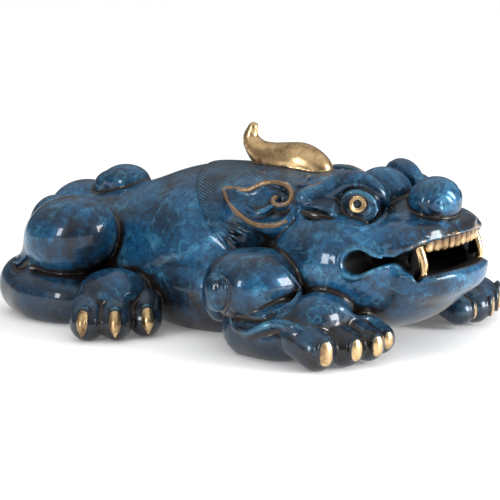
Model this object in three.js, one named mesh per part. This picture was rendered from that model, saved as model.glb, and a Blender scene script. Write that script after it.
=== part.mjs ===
// A crouching pixiu, cast in brass by the lost-wax process: horn, ears, claws and teeth are all
// one casting, so the figure is one closed solid.
// +X is the way the figure faces, +Z is up, and the origin is under the middle of its box.
import * as THREE from 'three';

// Driving sizes, in millimetres.
const LENGTH = 300;             // tail curls to lower lip; the pose and the carving follow it
const HORN_LENGTH = 56;         // from the forehead back to the horn's upturned tip
const HORN_THICKNESS = 21;
const EAR_LENGTH = 52;
const EAR_RIM = 4;
const EYE_DIAMETER = 22;
const NOSE_WIDTH = 32.5;
const FANG_LENGTH = 23.5;
const FANG_THICKNESS = 4.5;
const TEETH = 9;                // short upper teeth between the fangs
const TOOTH_PITCH = 5.9;
const TOOTH_HEIGHT = 9;
const NAIL_LENGTH = 13.5;       // oval nails of the forepaws
const TALON_LENGTH = 13;        // pointed talons of the hind feet
const GRID = 2.1;               // spacing of the grid that the surface is drawn on
const FACETS = 9400;

// The carving is laid out in hundredths of the length.
const HUNDREDTH = LENGTH / 100;
const SIDES = [-1, 1];
const DEGREE = Math.PI / 180;

const spot = (x, y, z) => new THREE.Vector3(x, y, z).multiplyScalar(HUNDREDTH);

// A point at a distance from another, in a direction given by its heading from +X and its climb.
function reach(from, heading, climb, distance) {
  const flat = Math.cos(climb * DEGREE);
  const way = new THREE.Vector3(
    flat * Math.cos(heading * DEGREE),
    flat * Math.sin(heading * DEGREE),
    Math.sin(climb * DEGREE),
  );
  return from.clone().addScaledVector(way, distance);
}

// A point so far ahead of another, along a heading, and so far up from it.
function ahead(from, out, up, heading = 0) {
  return reach(reach(from, heading, 0, out), 0, 90, up);
}

// Masses of clay. Each knows its box and the distance from any point to its surface.

// An egg-shaped mass. A squareness over 2 fills out its corners.
function egg(centre, radii, { heading = 0, pitch = 0, lean = 0, squareness = 2 } = {}) {
  const turn = new THREE.Euler(lean * DEGREE, pitch * DEGREE, heading * DEGREE, 'ZYX');
  const axes = [0, 1, 2].map((i) => new THREE.Vector3().setComponent(i, 1).applyEuler(turn));
  const half = new THREE.Vector3();
  for (let i = 0; i < 3; i++) {
    const spans = axes.map((axis, k) => Math.abs(axis.getComponent(i)) * radii[k]);
    half.setComponent(i, squareness > 2 ? spans[0] + spans[1] + spans[2] : Math.hypot(...spans));
  }
  const [a, b, c] = axes;
  const power = squareness;
  function distance(x, y, z) {
    const dx = x - centre.x;
    const dy = y - centre.y;
    const dz = z - centre.z;
    const u = Math.abs(dx * a.x + dy * a.y + dz * a.z) / radii[0];
    const v = Math.abs(dx * b.x + dy * b.y + dz * b.z) / radii[1];
    const w = Math.abs(dx * c.x + dy * c.y + dz * c.z) / radii[2];
    if (power === 2) {
      const size = Math.sqrt(u * u + v * v + w * w) + 1e-6;
      const slope = Math.hypot(u / radii[0], v / radii[1], w / radii[2]) + 1e-9;
      return size * (size - 1) / slope;
    }
    const size = (u ** power + v ** power + w ** power) ** (1 / power) + 1e-6;
    const rise = power - 1;
    const slope = Math.hypot(u ** rise / radii[0], v ** rise / radii[1], w ** rise / radii[2]) + 1e-9;
    return size ** rise * (size - 1) / slope;
  }
  return { box: new THREE.Box3(centre.clone().sub(half), centre.clone().add(half)), distance };
}

// A round roll of clay along a smooth curve, with its own radius at each point of the curve.
// A wide roll is drawn out sideways by that much to each side.
function roll(points, radii, { steps = 4, wide = 0 } = {}) {
  const path = new THREE.CatmullRomCurve3(points, false, 'catmullrom');
  const count = (points.length - 1) * steps;
  const beads = [];
  for (let i = 0; i <= count; i++) {
    const place = i / count * (radii.length - 1);
    const k = Math.min(Math.floor(place), radii.length - 2);
    const radius = THREE.MathUtils.lerp(radii[k], radii[k + 1], place - k);
    beads.push({ at: path.getPoint(i / count), radius });
  }
  const box = new THREE.Box3();
  for (const { at, radius } of beads) {
    const half = new THREE.Vector3(radius, radius + wide, radius);
    box.expandByPoint(at.clone().sub(half));
    box.expandByPoint(at.clone().add(half));
  }
  const middle = points[0].y;
  function distance(x, y, z) {
    let side = y;
    if (wide > 0) {
      side = middle + Math.sign(y - middle) * Math.max(Math.abs(y - middle) - wide, 0);
    }
    let nearest = Infinity;
    for (let i = 1; i < beads.length; i++) {
      const a = beads[i - 1].at;
      const b = beads[i].at;
      const vx = b.x - a.x;
      const vy = b.y - a.y;
      const vz = b.z - a.z;
      const wx = x - a.x;
      const wy = side - a.y;
      const wz = z - a.z;
      const share = Math.min(1, Math.max(0, (wx * vx + wy * vy + wz * vz) / (vx * vx + vy * vy + vz * vz)));
      const gap = Math.hypot(wx - share * vx, wy - share * vy, wz - share * vz);
      const radius = beads[i - 1].radius + share * (beads[i].radius - beads[i - 1].radius);
      nearest = Math.min(nearest, gap - radius);
    }
    return nearest;
  }
  return { box, distance };
}

// The block of clay: a grid of distances, less than zero inside, that masses are added to and cut
// from. A blend is how far a mass's joint is smoothed over, in hundredths of the length. The grid
// has a plane at y = 0, so both sides are drawn alike, and one at z = 0.
class Clay {
  constructor(low, high) {
    this.low = low.divideScalar(GRID).floor().multiplyScalar(GRID);
    this.counts = high.sub(this.low).divideScalar(GRID).ceil().addScalar(1).toArray();
    this.field = new Float32Array(this.counts[0] * this.counts[1] * this.counts[2]).fill(10 * GRID);
  }

  // Works out again the field at each point of the grid near a mass.
  each(mass, blend, change) {
    const margin = blend + 2 * GRID;
    const from = mass.box.min.clone().subScalar(margin).sub(this.low).divideScalar(GRID).floor();
    const to = mass.box.max.clone().addScalar(margin).sub(this.low).divideScalar(GRID).ceil();
    const first = from.toArray().map((n) => Math.max(n, 0));
    const last = to.toArray().map((n, axis) => Math.min(n, this.counts[axis] - 1));
    for (let i = first[0]; i <= last[0]; i++) {
      for (let j = first[1]; j <= last[1]; j++) {
        for (let k = first[2]; k <= last[2]; k++) {
          const at = (i * this.counts[1] + j) * this.counts[2] + k;
          const x = this.low.x + i * GRID;
          const y = this.low.y + j * GRID;
          const z = this.low.z + k * GRID;
          this.field[at] = change(this.field[at], mass.distance(x, y, z));
        }
      }
    }
  }

  add(mass, blend = 0) {
    const soft = blend * HUNDREDTH;
    this.each(mass, soft, (old, distance) => smoothMin(old, distance, soft));
  }

  cut(mass, blend = 0) {
    const soft = blend * HUNDREDTH;
    this.each(mass, soft, (old, distance) => -smoothMin(-old, distance, soft));
  }
}

function smoothMin(a, b, blend) {
  if (blend <= 0) {
    return Math.min(a, b);
  }
  const share = Math.max(blend - Math.abs(a - b), 0) / blend;
  return Math.min(a, b) - share ** 3 * blend / 6;
}

// Radii given in hundredths of the length.
const sizes = (...shares) => shares.map((share) => share * HUNDREDTH);

// Places given in rows for the left side, on the side that is asked for.
const along = (rows, side) => rows.map(([x, y, z]) => spot(x, side * y, z));

// Trunk: barrel chest, belly spread on the ground, loins and rump.
function trunk(clay) {
  clay.add(egg(spot(-5.2, 0, 14.7), sizes(20.5, 17.9, 15.2)));
  clay.add(egg(spot(-1.9, 0, 8.3), sizes(21.2, 20.5, 12.2)), 6.4);
  clay.add(egg(spot(-21.2, 0, 11.5), sizes(19.9, 16.7, 13.1)), 7.7);
  clay.add(egg(spot(-34, 0, 9.6), sizes(12.2, 14.7, 11.5)), 5.1);
}

// Tail: a thick root behind, a curl on each side of it, and the tip folded forward on the back.
function tail(clay) {
  clay.add(egg(spot(-40.4, 0, 15.4), sizes(9, 7.7, 8)), 1.9);
  for (const side of SIDES) {
    clay.add(egg(spot(-44.4, side * 5.4, 13.6), sizes(5.8, 5.4, 7)), 0.6);
  }
  clay.add(egg(spot(-30.6, 0, 24), sizes(5.1, 4.5, 3.4)), 0.6);
  clay.add(egg(spot(-34.4, 0, 23), sizes(3.2, 3.8, 2.9)), 0.9);
}

// Head: neck, skull and crown, the broad lower jaw, cheeks and upper lip, the muzzle with the
// bridge behind the nose, and the boss of the forehead.
function head(clay) {
  clay.add(egg(spot(8.3, 0, 21.2), sizes(19.2, 16, 9.6)), 3.2);
  clay.add(egg(spot(21.2, 0, 18.6), sizes(14.1, 15.4, 11.5)), 3.2);
  clay.add(egg(spot(20, 0, 25), sizes(9, 10, 5.4)), 2);
  clay.add(egg(spot(27.6, 0, 11.9), sizes(17.9, 16.2, 9.6)), 2.6);
  clay.add(egg(spot(34, 0, 14.3), sizes(15.2, 14.6, 6.2), { squareness: 2.4 }), 3);
  for (const side of SIDES) {
    clay.add(egg(spot(27.6, side * 13.5, 16), sizes(12.2, 8.3, 9.3)), 3.2);
    clay.add(egg(spot(38, side * 9.6, 20), sizes(7, 5.4, 4.6)), 2);
    clay.add(egg(spot(23.6, side * 11.5, 24.6), sizes(5.6, 4.6, 4)), 1.6);
  }
  clay.add(egg(spot(36, 0, 20.6), sizes(10.6, 11.3, 4.2), { squareness: 2.8 }), 1.6);
  clay.add(egg(spot(35.5, 0, 20.4), sizes(10.9, 11.5, 6)), 1.6);
  clay.add(egg(spot(41.4, 0, 22.2), sizes(4.8, 10, 2.3), { squareness: 3 }), 1.2);
  clay.add(egg(spot(35.5, 0, 24), sizes(6, 5, 3.8)), 2);
  clay.add(egg(spot(29.7, 0, 27.1), sizes(5.8, 5.3, 5.3)), 0.6);
}

// Nose: one round ball, with a small nostril in each side of it.
function nose(clay) {
  const centre = spot(41, 0, 27.2);
  const half = NOSE_WIDTH / 2;
  clay.add(egg(centre, [0.9 * half, half, 0.82 * half]), 0.4);
  for (const side of SIDES) {
    const heading = 42 * side;
    clay.cut(egg(reach(centre, heading, -1, 0.97 * half), sizes(0.7, 0.45, 1.3), { heading }), 0.3);
  }
}

// Eyes: the ball and its lids, the thick S-shaped brow over it, the folded pouch under it, and the
// hollow behind it.
function eye(clay, side) {
  const radius = EYE_DIAMETER / 2;
  clay.add(egg(spot(30.6, side * 9.1, 26), [radius, radius, radius]), 0.4);
  const brow = [[34, 5.6, 26.6], [33.1, 6.9, 28.7], [30.3, 7.9, 30.4], [27.1, 9.8, 30.3],
    [24.4, 11.8, 28.3], [21.6, 13.8, 27.6]];
  clay.add(roll(along(brow, side), sizes(0.8, 1.4, 2, 2.2, 2.3, 1.9)), 0.4);
  const upperLid = [[27.3, 11.2, 26.2], [28.3, 11.6, 27.9], [29.8, 11.6, 29], [31.4, 11.1, 29.2],
    [32.9, 10.6, 28.7], [34, 10.2, 27.6], [34.5, 9.8, 26.1]];
  clay.add(roll(along(upperLid, side), sizes(0.3, 0.6, 0.6, 0.3)), 0.2);
  const lowerLid = [[34.5, 9.8, 26.3], [34.1, 10.4, 25.2], [33.4, 11.3, 24.4], [31.9, 12.2, 24.1],
    [29.9, 12.5, 24.4], [27.5, 11.6, 25.4], [26, 12.4, 26]];
  clay.add(roll(along(lowerLid, side), sizes(0.3, 0.5, 0.5, 0.2)), 0.2);
  const hollow = [[28.4, 15.3, 24.9], [25, 15.5, 25], [22, 15.7, 25.4]];
  clay.cut(roll(along(hollow, side), sizes(0.6, 1.2, 0.8)), 0.8);
  const pouch = [[34, 6.1, 25.6], [35, 8.7, 24.7], [35.6, 11.8, 23.9], [35, 13.3, 23.5], [34.1, 15.6, 23.4],
    [32.3, 16.5, 23.8], [30.4, 17, 24], [28, 17.6, 23.6]];
  clay.add(roll(along(pouch, side), sizes(0.3, 0.6, 0.6, 0.3)), 0.5);
}

// Ears: a pointed leaf lying back along the head and leaning in over it, hollowed outward inside
// a rim that curls over into a scroll, with a full lobe at its root.
function ear(clay, side) {
  const half = EAR_LENGTH / 2;
  const slope = 38;
  const lean = slope * side;
  const pitch = 10;
  const root = spot(19.5, side * 13.2, 23.6);
  const middle = reach(root, 180 - side * 2, pitch, 0.9 * half);
  clay.add(egg(middle, [half, 0.2 * half, 0.56 * half], { pitch, lean }), 0.6);
  clay.add(egg(spot(16.3, side * 14.2, 22.2), sizes(4, 1.6, 2.8), { lean }), 1);
  const tip = [reach(middle, 180, pitch, 0.3 * half), reach(middle, 180, pitch + 4, 1.12 * half)];
  clay.add(roll(tip, [0.16 * half, 0.03 * half]), 0.6);
  const shell = [[4.9, 13.2, 25.5], [6.9, 13.8, 24.5], [9.9, 15.1, 23.1], [12.9, 15.7, 22.1],
    [15.7, 15.9, 21.9], [17.7, 15.4, 22.4], [18.9, 14.6, 23.3], [19.4, 13.6, 24.6], [18.9, 12.5, 25.9],
    [17.9, 11.7, 27]];
  clay.add(roll(along(shell, side), sizes(0.7, 0.9, 1.2, 1.4, 1.5, 1.5, 1.5, 1.5, 1.3, 1)), 0.6);
  const bowl = reach(middle, side * 90, slope, 0.21 * half);
  const inner = [half - 1.2 * EAR_RIM, 0.2 * half, 0.56 * half - 0.95 * EAR_RIM];
  clay.cut(egg(bowl, inner, { pitch, lean }), 0.3);
  const fold = [[4.6, 13.1, 26.3], [7, 13.8, 25.4], [9, 14.5, 24.5], [10.9, 15, 23.8], [12.5, 14.7, 24.2],
    [13.9, 14, 25.2]];
  clay.add(roll(along(fold, side), sizes(0.3, 0.6, 0.7, 0.5)), 0.5);
  const upperRim = [[2.8, 13, 27.4], [4.4, 12.8, 27.6], [6.7, 12.9, 27.6], [8.4, 12.7, 27.7],
    [9.5, 12.3, 28.3], [10.8, 11.7, 29], [12.9, 11.4, 29.4], [15.2, 11.5, 29.3], [17, 12, 28.6],
    [18, 12.8, 27.6], [18.1, 13.6, 26.6], [17.3, 14.1, 26], [15.9, 14.3, 25.8], [14.9, 14.1, 26],
    [14.4, 13.7, 26.5], [14.8, 13.3, 27]];
  const lowerRim = [[2.8, 13, 27.4], [4.5, 14.2, 25.8], [6.1, 15.2, 24.6], [8.7, 16.1, 23.4],
    [11, 16.8, 22.6], [13.4, 17.1, 22.2], [16, 17, 22.3], [17.6, 16.7, 22.6], [18.8, 16.2, 23.2]];
  for (const rows of [upperRim, lowerRim]) {
    const crest = rows.map(([x, y, z]) => [x, y + 0.2, z]);
    const backing = rows.map(([x, y, z]) => [x, y - 0.6, z - 0.4]);
    clay.add(roll(along(backing, side), sizes(0.6, 0.8)), 0.4);
    clay.add(roll(along(crest, side), [0.32 * EAR_RIM, 0.36 * EAR_RIM]), 0.2);
  }
}

// Horn: one thick S-curve lying back from the forehead, with its tip turned up. The rows hold
// how far back and up the curve has come, and its radius, as shares of its length and thickness.
function horn(clay) {
  const root = spot(17.1, 0, 30);
  const curve = [[0, 0, 0.35], [0.1, 0.05, 0.75], [0.28, 0.09, 1.02], [0.46, 0.085, 1.02],
    [0.65, 0.09, 0.9], [0.82, 0.15, 0.66], [0.93, 0.27, 0.45], [0.9, 0.4, 0.28]];
  const points = curve.map(([back, up]) => ahead(root, -back * HORN_LENGTH, up * HORN_LENGTH));
  clay.add(roll(points, curve.map(([, , share]) => share * HORN_THICKNESS / 2)), 0.3);
}

// Forelegs: a round shoulder with a point to the front and a ridge along its edge, the elbow's
// scroll behind it, the forearm flat on the ground with a fold along it, and a paw of four toes
// fanned out, each with an oval nail.
function foreleg(clay, side) {
  const shoulder = { heading: 24 * side, squareness: 2.4 };
  clay.add(egg(spot(16.2, side * 21.8, 12.3), sizes(9.2, 9, 6.5), shoulder), 0.6);
  clay.add(egg(spot(8.2, side * 21.5, 10.2), sizes(3.2, 4.5, 6)), 0.4);
  clay.add(egg(spot(12.6, side * 28.8, 11.6), sizes(2.8, 2.5, 3.7)), 0.4);
  const elbowRim = [[12.8, 29.8, 14.9], [15.3, 30.8, 14.4], [16.5, 31.2, 12.8], [16.2, 31, 10.5],
    [13.9, 29, 8.1], [10, 26, 6.4]];
  clay.cut(roll(along(elbowRim, side), sizes(0.2, 0.4, 0.5, 0.5, 0.4, 0.2)), 0.4);
  const forearm = [[17, 24.3, 4.8], [23.7, 25.8, 5.2], [30.1, 24.6, 6]];
  clay.add(roll(along(forearm, side), sizes(5.5, 5.5, 5.1)), 1.3);
  clay.add(egg(spot(30.6, side * 22.6, 8.2), sizes(5.6, 7, 4.4)), 1.4);
  const armGroove = [[15.9, 30.6, 9.7], [16.8, 30, 8.2], [20, 30.2, 7.7], [23.4, 30.4, 8.2],
    [25.3, 29.3, 9.5], [26.6, 28.2, 10.3]];
  clay.cut(roll(along(armGroove, side), sizes(0.2, 0.5, 0.5, 0.3)), 0.5);
  const armFold = [[16.2, 30, 7.3], [16.5, 29.7, 6.4], [17.9, 30.3, 5.7], [20.8, 31.1, 5.5],
    [23.8, 31.2, 6.8], [26.6, 30.5, 7.8], [30.2, 31.1, 7.9], [32, 31, 7.5]];
  clay.add(roll(along(armFold, side), sizes(0.3, 0.5, 0.6, 0.7, 0.8, 0.9, 0.9, 0.5)), 0.5);
  const belowFold = armFold.slice(2, 7).map(([x, y, z]) => [x, y + 0.6, z - 1.7]);
  clay.cut(roll(along(belowFold, side), sizes(0.6, 0.6)), 1.2);
  const shoulderEdge = [[21.2, 23.8, 18], [24.3, 23.7, 15.8], [25.7, 22.4, 13.4], [26, 22, 12.3],
    [27.3, 24.6, 11.9], [27.5, 26.6, 11.2], [26.4, 28.2, 10.3], [25, 29.4, 9.5]];
  clay.add(roll(along(shoulderEdge, side), sizes(0.25, 0.45, 0.45, 0.2)), 0.3);
  const handEdge = [[30.3, 25.3, 12.2], [32.4, 24.3, 11.9], [34.5, 23.3, 10.9], [35.6, 21.6, 9.4],
    [35.8, 19, 8.1], [36.1, 15.3, 7.3], [37.7, 13.6, 6.9]];
  clay.add(roll(along(handEdge, side), sizes(0.3, 0.6, 0.6, 0.3)), 0.6);
  const palm = spot(25, side * 21.8, 3.6);
  const toes = [[37.5, 11.5, 33, 1], [10, 12.2, 25, 0.87], [-11, 13.9, 25, 0.83], [-30, 15.1, 25, 0.7]];
  toes.forEach(([away, distance, splay, share], toe) => {
    const radius = (3.7 - 0.28 * toe) * HUNDREDTH;
    const nail = share * NAIL_LENGTH / 2;
    const tip = reach(palm, side * away, 0, distance * HUNDREDTH);
    const knuckle = tip.clone().add(spot(-3.8, 0, 1.7));
    clay.add(roll([knuckle, tip], [0.95 * radius, radius]), 1);
    const heading = side * splay;
    const cuticle = [0.38 * nail, 0.78 * nail, 1.18 * nail];
    clay.add(egg(reach(tip, heading, 6, 0.97 * radius), cuticle, { heading }), 0.3);
    const oval = [0.42 * nail, 0.58 * nail, nail];
    clay.add(egg(reach(tip, heading, 4, 0.98 * radius), oval, { heading, squareness: 2.3 }));
  });
}

// Hind legs: the round haunch, the long foot under it with a curl at the heel, the instep, and
// three toes, each with a talon that bends down to the ground.
function hindLeg(clay, side) {
  clay.add(egg(spot(-30.6, side * 21, 4.5), sizes(10.4, 7.9, 5.5), { squareness: 2.4 }), 1.6);
  clay.add(egg(spot(-39.7, side * 19.6, 5.5), sizes(6, 5.9, 6)), 4);
  clay.add(egg(spot(-28.5, side * 20.4, 16.3), sizes(9.8, 8.3, 7.7), { pitch: -17 }), 0.9);
  clay.add(roll(along([[-35.4, 22.6, 12.4], [-38.4, 22, 8.4]], side), sizes(2.6, 3)), 2.6);
  const heelCurl = [[-34.9, 25.7, 12], [-36.3, 25.2, 10.7], [-37.4, 25.2, 9.7], [-38.8, 25, 9.4],
    [-39.9, 24.2, 10], [-39.5, 23.8, 10.8]];
  clay.cut(roll(along(heelCurl, side), sizes(0.4, 0.8, 0.9, 0.8, 0.6, 0.4)), 0.4);
  clay.add(egg(spot(-15.4, side * 24, 7), sizes(6.6, 7.4, 4.8)), 1.8);
  const sole = spot(-19.5, side * 23, 3.2);
  const toes = [[63, 11.8, 70], [38, 12.2, 52], [9, 12.6, 42]];
  toes.forEach(([away, distance, splay], toe) => {
    const radius = (3.3 - 0.08 * toe) * HUNDREDTH;
    const tip = reach(sole, side * away, 0, distance * HUNDREDTH);
    const knuckle = tip.clone().add(spot(-2.2, -3.2 * side, 2.2));
    clay.add(roll([knuckle, tip], [0.95 * radius, radius]), 0.7);
    const heading = side * splay;
    clay.add(egg(reach(tip, heading, 60, 0.8 * radius), sizes(1.3, 1.3, 1.3)), 0.3);
    const bend = [[0, 0, 0.2], [0.22, -0.4, 0.22], [0.24, -0.88, 0.06]];
    const base = reach(tip, heading, 42, 0.9 * radius);
    const points = bend.map(([out, up]) => ahead(base, out * TALON_LENGTH, up * TALON_LENGTH, heading));
    clay.add(roll(points, bend.map(([, , share]) => share * TALON_LENGTH)));
  });
}

// Mouth: a round hole at each corner with a raised lip round it, a narrow slit, then the open
// jaws, hollowed out behind the lips, with a web of lip behind each fang and a notch in the lower
// lip for its point. The rows hold the gape's place along the head, its height and half its
// opening.
function mouth(clay) {
  const cornerLip = [[39.6, 16.2, 18.9], [38.4, 17, 19.3], [37.3, 17.3, 19.9], [36.1, 17.8, 20.5],
    [34.9, 18.7, 20.6], [33.8, 19.5, 20.1], [33.2, 20.1, 19], [33.2, 20.4, 17.7], [33.8, 20.4, 16.5],
    [34.9, 20.1, 15.6], [36.1, 19.4, 15.4], [37.3, 18.6, 16], [38.3, 17.3, 16.8], [40, 15, 17.2]];
  const lowerLip = [[42.3, 13.2, 15.4], [44.3, 11.4, 14.7], [45.9, 9.8, 14.6], [46.8, 8, 14.7],
    [47.7, 4.8, 14.9], [48.1, 0, 15]];
  const upperLip = [[43.4, 12.2, 20.4], [44.3, 10.7, 21], [45, 8.6, 21.4], [46, 5.9, 21.6], [46.5, 3, 21.7],
    [46.7, 0, 21.8]];
  for (const side of SIDES) {
    clay.add(roll(along(cornerLip, side), sizes(0.3, 0.5, 0.5, 0.5, 0.5, 0.5, 0.3)), 0.4);
    clay.add(roll(along(lowerLip, side), sizes(0.3, 0.7, 0.8, 0.8, 0.8, 0.8)), 0.6);
    clay.add(egg(spot(43.5, side * 9.9, 20.8), sizes(1.7, 1.9, 1.5)), 0.8);
    clay.add(roll(along(upperLip, side), sizes(0.5, 0.6, 0.5, 0.45, 0.45, 0.45)), 0.4);
  }
  const gape = [[35.9, 18, 2.1], [37.4, 17.9, 1.3], [39.5, 18.1, 0.6], [41.5, 18, 0.9], [43, 17.8, 1.7],
    [44.6, 17.8, 2.3], [46.5, 18.5, 2.8], [49, 18.7, 2.8], [56, 18.7, 2.8]];
  const opening = (rows, y, wide) => {
    const points = rows.map(([x, z]) => spot(x, y, z));
    return roll(points, rows.map(([, , half]) => half * HUNDREDTH), { wide: wide * HUNDREDTH });
  };
  for (const side of SIDES) {
    clay.cut(opening(gape, 18.6 * side, 7.1), 0.6);
  }
  clay.cut(opening(gape.slice(4), 0, 13), 1.8);
  clay.cut(egg(spot(33, 0, 17.6), sizes(12.6, 10.6, 4.4), { squareness: 3 }), 0.6);
  for (const side of SIDES) {
    clay.add(egg(spot(43, side * 10.4, 17.4), sizes(0.9, 0.55, 3.4)), 0.3);
    clay.cut(roll([spot(43, side * 9.8, 15.3), spot(45, side * 12.2, 15)], sizes(0.8, 0.8)), 0.3);
  }
}

// Teeth: a row of short blocks in the upper lip, between two long curved fangs.
function teeth(clay) {
  for (let tooth = 0; tooth < TEETH; tooth++) {
    const across = (tooth - (TEETH - 1) / 2) * TOOTH_PITCH;
    const place = across / HUNDREDTH;
    const middle = spot(45.2 - 0.017 * place ** 2, place, 20.5);
    const radii = [HUNDREDTH, 0.49 * TOOTH_PITCH, 0.5 * TOOTH_HEIGHT];
    clay.add(egg(middle, radii, { heading: 2.2 * place, squareness: 3.2 }));
  }
  const curve = [[0, 0, 1], [0.14, -0.25, 1.05], [0.22, -0.6, 0.9], [0.06, -1.04, 0.35]];
  for (const side of SIDES) {
    const root = spot(43, side * 9.9, 21);
    const points = curve.map(([out, up]) => ahead(root, out * FANG_LENGTH, up * FANG_LENGTH));
    clay.add(roll(points, curve.map(([, , share]) => share * FANG_THICKNESS / 2)));
  }
}

// The underside is ground flat, so that the figure stands on its belly and feet.
function grindFlat(clay) {
  const ground = new THREE.Box3(spot(-100, -100, -100), spot(100, 100, 100));
  clay.cut({ box: ground, distance: (x, y, z) => z });
}

// The distance given to a point of the grid that is filled in.
const JUST_INSIDE = -0.02 * GRID;

// Fills any empty corner of the grid that two solid ones meet across only by an edge or a point,
// so that the skin never touches itself.
function closePinches({ field, counts }) {
  const strides = [counts[1] * counts[2], counts[2], 1];
  const [across, up, far] = [strides[0], strides[1], strides[0] + strides[1] + 1];
  const corners = [0, 1, up, up + 1, across, across + 1, across + up, far];
  const planes = [[across, up], [up, 1], [across, 1]];
  const solid = (at) => field[at] < 0;
  let changed = true;
  const fill = (at) => {
    field[at] = JUST_INSIDE;
    changed = true;
  };
  while (changed) {
    changed = false;
    for (let at = 0; at < field.length - far; at++) {
      let count = 0;
      for (const corner of corners) {
        count += solid(at + corner) ? 1 : 0;
      }
      if (count === 0 || count === 8) {
        continue;
      }
      for (const [u, v] of planes) {
        const [a, b, c, d] = [at, at + u, at + u + v, at + v].map(solid);
        if (a === c && b === d && a !== b) {
          fill(a ? at + u : at);
        }
      }
      for (const near of [0, across, up, 1]) {
        if (count === 2 && solid(at + near) && solid(at + far - near)) {
          fill(near === 0 ? at + across : at);
        }
        if (count === 6 && !solid(at + near) && !solid(at + far - near)) {
          fill(at + near);
        }
      }
    }
  }
}

// Fills the air pockets that masses of clay have closed in between them.
function fillPockets({ field, counts }) {
  const steps = [counts[1] * counts[2], counts[2], 1].flatMap((stride) => [stride, -stride]);
  const air = new Uint8Array(field.length);
  const open = [0];
  air[0] = 1;
  while (open.length > 0) {
    const at = open.pop();
    for (const step of steps) {
      if (air[at + step] === 0 && field[at + step] >= 0) {
        air[at + step] = 1;
        open.push(at + step);
      }
    }
  }
  for (let at = 0; at < field.length; at++) {
    if (air[at] === 0 && field[at] >= 0) {
      field[at] = JUST_INSIDE;
    }
  }
}

// The surface of the clay: one point in each cell that it passes through, at the middle of its
// crossings with the cell's edges, and one square of skin across each edge of the grid it crosses.
function drawSkin({ field, counts, low }) {
  const strides = [counts[1] * counts[2], counts[2], 1];
  const corners = [0, 1, 2, 3, 4, 5, 6, 7].map((bits) => [bits >> 2 & 1, bits >> 1 & 1, bits & 1]);
  const steps = corners.map((corner) => corner.reduce((sum, c, axis) => sum + c * strides[axis], 0));
  const pointOf = new Int32Array(field.length).fill(-1);
  const places = [];
  const triangles = [];

  for (let i = 0; i < counts[0] - 1; i++) {
    for (let j = 0; j < counts[1] - 1; j++) {
      for (let k = 0; k < counts[2] - 1; k++) {
        const cell = i * strides[0] + j * strides[1] + k;
        const sum = [0, 0, 0];
        let crossings = 0;
        for (let n = 0; n < 8; n++) {
          const from = field[cell + steps[n]];
          for (let axis = 0; axis < 3; axis++) {
            const to = corners[n][axis] === 0 ? field[cell + steps[n] + strides[axis]] : from;
            if (from < 0 !== to < 0) {
              for (let other = 0; other < 3; other++) {
                sum[other] += corners[n][other];
              }
              sum[axis] += from / (from - to);
              crossings += 1;
            }
          }
        }
        if (crossings > 0) {
          pointOf[cell] = places.length / 3;
          places.push(
            low.x + GRID * (i + sum[0] / crossings),
            low.y + GRID * (j + sum[1] / crossings),
            low.z + GRID * (k + sum[2] / crossings),
          );
        }
      }
    }
  }

  for (let i = 1; i < counts[0] - 1; i++) {
    for (let j = 1; j < counts[1] - 1; j++) {
      for (let k = 0; k < counts[2] - 1; k++) {
        const at = i * strides[0] + j * strides[1] + k;
        for (let axis = 0; axis < 3; axis++) {
          const solid = field[at] < 0;
          if (solid === field[at + strides[axis]] < 0) {
            continue;
          }
          const u = strides[(axis + 1) % 3];
          const v = strides[(axis + 2) % 3];
          const [a, b, c, d] = [at - u - v, at - v, at, at - u].map((cell) => pointOf[cell]);
          triangles.push(...(solid ? [a, b, c, a, c, d] : [a, c, b, a, d, c]));
        }
      }
    }
  }
  return { places: Float64Array.from(places), triangles: Int32Array.from(triangles) };
}

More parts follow.
